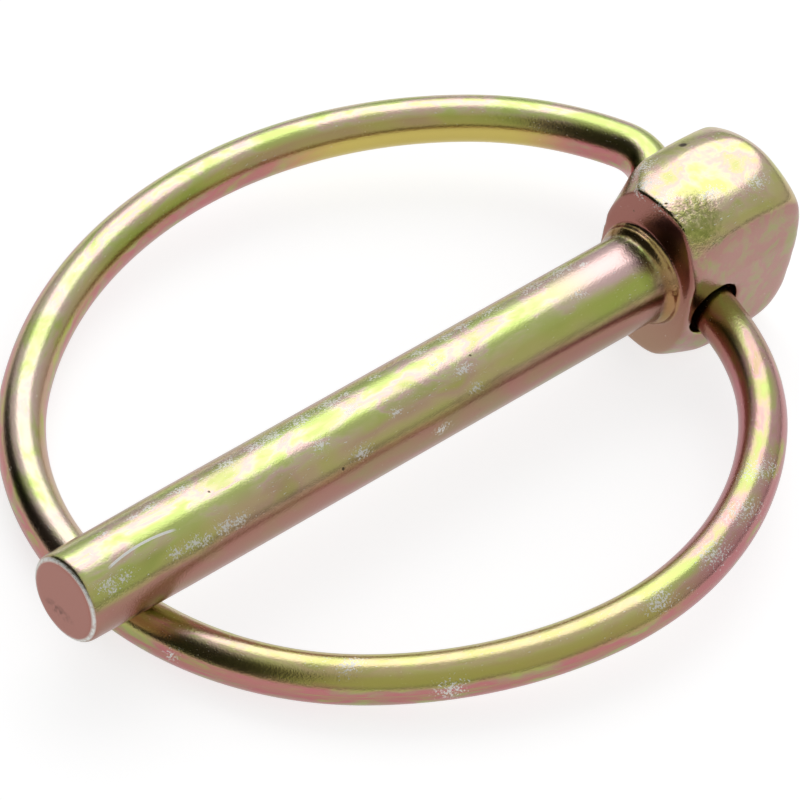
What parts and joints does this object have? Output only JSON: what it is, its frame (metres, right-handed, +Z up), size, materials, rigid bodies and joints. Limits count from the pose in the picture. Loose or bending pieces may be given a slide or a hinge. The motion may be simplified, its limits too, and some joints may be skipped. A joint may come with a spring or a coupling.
{
  "type": "linch pin",
  "caption": "Headed steel pin with a sprung wire ring hinged in its head; the ring swings over and closes under the pin's tip to keep it in its hole.",
  "frame": {"origin": "on the pin's axis where the true shank starts, in front of the collar's flare", "axes": "+X along the shank to its tip, +Z up as the part lies, +Y completes the frame"},
  "size_m": [0.0584, 0.0486, 0.013],
  "materials": {
    "pin": "forged and turned steel, zinc plated and yellow passivated, worn through to pale zinc in scratches",
    "ring": "drawn spring wire, zinc plated and yellow passivated, bright with iridescent patches"
  },
  "bodies": {
    "pin": {"pin": "pin"},
    "ring": {"ring": "ring"}
  },
  "joints": [
    {"name": "ring_hinge", "type": "hinge", "parent": "pin", "child": "ring", "pos_m": [-0.00465, 0, -0.0016], "axis": [0.2369, 0.9714, -0.0164], "range_deg": [0, 346]}
  ]
}
